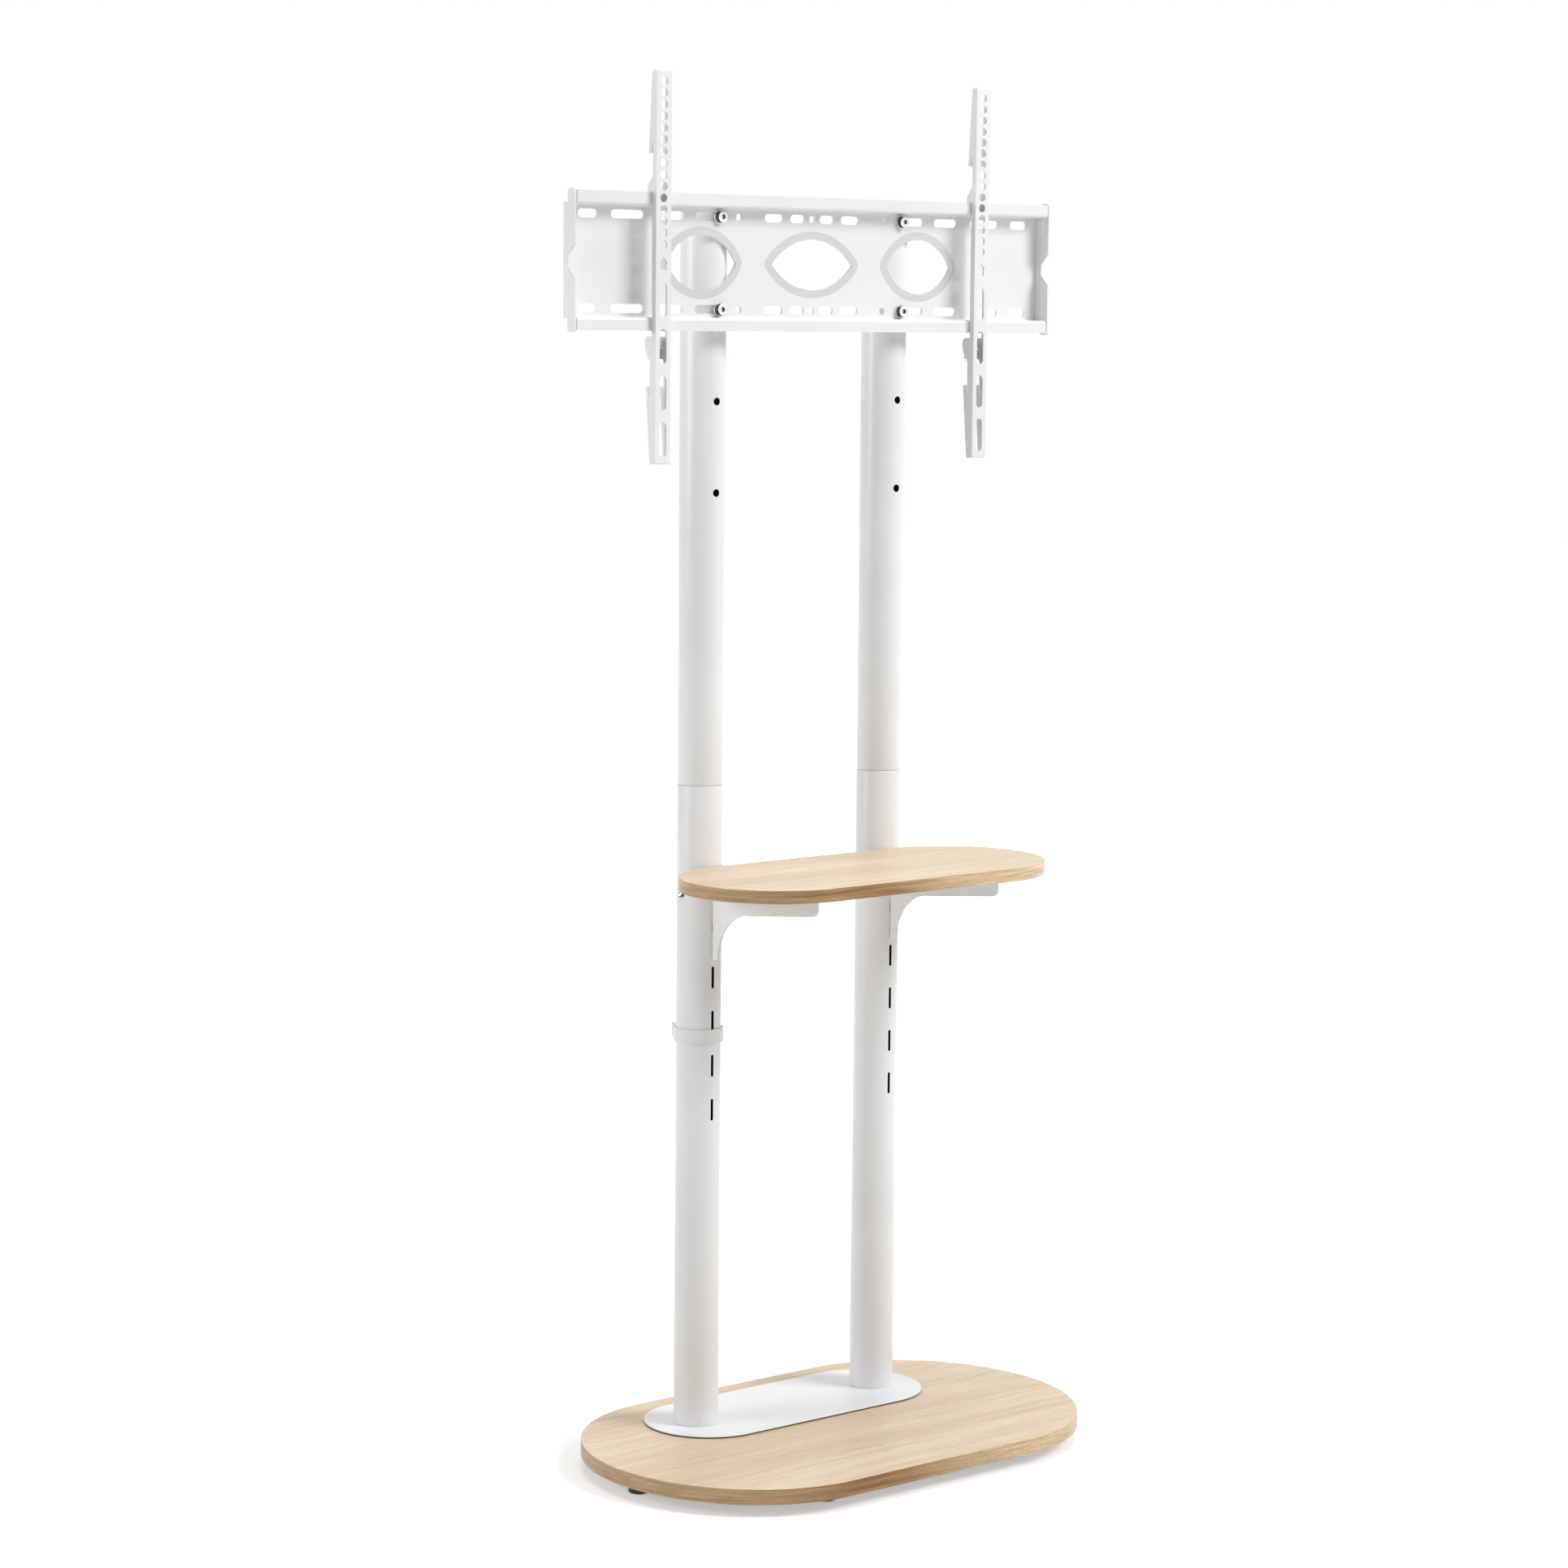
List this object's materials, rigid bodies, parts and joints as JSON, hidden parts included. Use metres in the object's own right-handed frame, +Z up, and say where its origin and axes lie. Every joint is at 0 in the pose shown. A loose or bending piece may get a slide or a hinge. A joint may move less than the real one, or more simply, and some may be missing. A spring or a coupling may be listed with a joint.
{
  "type": "television floor stand",
  "caption": "Floor stand for a television: steel columns on a wooden base carry a slotted mount plate with sliding hooked arms, a hook-in shelf and a cable clip.",
  "frame": {"origin": "on the floor, under the middle of the base board", "axes": "+X along the width to the right of someone who faces the stand, +Y to the back, +Z up; the television side faces -Y"},
  "size_m": [0.683, 0.381, 1.54],
  "materials": {
    "white_steel": "white powder coat, satin",
    "oak": "light oak laminate, satin",
    "zinc": "zinc plated, bright",
    "dark_steel": "blackened",
    "black_steel": "blackened, matte",
    "white_plastic": "smooth"
  },
  "bodies": {
    "stand": {"base_board": "oak", "base_plate": "white_steel", "foot_insert_back_left": "zinc", "foot_insert_back_right": "zinc", "foot_insert_front_left": "zinc", "foot_insert_front_right": "zinc", "foot_insert_left_end": "zinc", "foot_insert_right_end": "zinc", "left_base_bolt": "zinc", "left_base_washer": "zinc", "left_foot_plug": "zinc", "left_joining_sleeve": "zinc", "left_lower_mount_bolt": "zinc", "left_lower_mount_washer": "zinc", "left_lower_tube": "white_steel", "left_side_screw": "zinc", "left_thread_strip": "dark_steel", "left_top_cap": "white_plastic", "left_upper_mount_bolt": "zinc", "left_upper_mount_washer": "zinc", "left_upper_tube": "white_steel", "mount_plate": "white_steel", "right_base_bolt": "zinc", "right_base_washer": "zinc", "right_foot_plug": "zinc", "right_joining_sleeve": "zinc", "right_lower_mount_bolt": "zinc", "right_lower_mount_washer": "zinc", "right_lower_tube": "white_steel", "right_side_screw": "zinc", "right_thread_strip": "dark_steel", "right_top_cap": "white_plastic", "right_upper_mount_bolt": "zinc", "right_upper_mount_washer": "zinc", "right_upper_tube": "white_steel"},
    "foot_left_end": {"foot_left_end": "black_steel"},
    "foot_right_end": {"foot_right_end": "black_steel"},
    "foot_front_left": {"foot_front_left": "black_steel"},
    "foot_front_right": {"foot_front_right": "black_steel"},
    "foot_back_left": {"foot_back_left": "black_steel"},
    "foot_back_right": {"foot_back_right": "black_steel"},
    "left_arm": {"left_television_arm": "white_steel", "left_lock_tab": "white_steel"},
    "left_lock_screw": {"left_lock_screw": "dark_steel"},
    "right_arm": {"right_television_arm": "white_steel", "right_lock_tab": "white_steel"},
    "right_lock_screw": {"right_lock_screw": "dark_steel"},
    "shelf": {"shelf_board": "oak", "left_shelf_bracket": "white_steel", "right_shelf_bracket": "white_steel", "left_shelf_screw_back": "zinc", "left_shelf_screw_front": "zinc", "right_shelf_screw_back": "zinc", "right_shelf_screw_front": "zinc"},
    "cable_clip": {"cable_clip": "white_plastic"}
  },
  "joints": [
    {"name": "foot_left_end_screw", "type": "slide", "parent": "stand", "child": "foot_left_end", "axis": [0, 0, -1], "range_m": [0, 0.008]},
    {"name": "foot_right_end_screw", "type": "slide", "parent": "stand", "child": "foot_right_end", "axis": [0, 0, -1], "range_m": [0, 0.008]},
    {"name": "foot_front_left_screw", "type": "slide", "parent": "stand", "child": "foot_front_left", "axis": [0, 0, -1], "range_m": [0, 0.008]},
    {"name": "foot_front_right_screw", "type": "slide", "parent": "stand", "child": "foot_front_right", "axis": [0, 0, -1], "range_m": [0, 0.008]},
    {"name": "foot_back_left_screw", "type": "slide", "parent": "stand", "child": "foot_back_left", "axis": [0, 0, -1], "range_m": [0, 0.008]},
    {"name": "foot_back_right_screw", "type": "slide", "parent": "stand", "child": "foot_back_right", "axis": [0, 0, -1], "range_m": [0, 0.008]},
    {"name": "left_arm_slide", "type": "slide", "parent": "stand", "child": "left_arm", "axis": [1, 0, 0], "range_m": [-0.1, 0.218]},
    {"name": "right_arm_slide", "type": "slide", "parent": "stand", "child": "right_arm", "axis": [1, 0, 0], "range_m": [-0.218, 0.1]},
    {"name": "left_lock_screw_turn_in", "type": "slide", "parent": "left_arm", "child": "left_lock_screw", "axis": [0, 0, 1], "range_m": [0, 0.012]},
    {"name": "right_lock_screw_turn_in", "type": "slide", "parent": "right_arm", "child": "right_lock_screw", "axis": [0, 0, 1], "range_m": [0, 0.012]},
    {"name": "shelf_lift", "type": "slide", "parent": "stand", "child": "shelf", "axis": [0, 0, 1], "range_m": [0, 0.01]},
    {"name": "cable_clip_slide", "type": "slide", "parent": "stand", "child": "cable_clip", "axis": [0, 0, 1], "range_m": [-0.43, 0.078]}
  ]
}
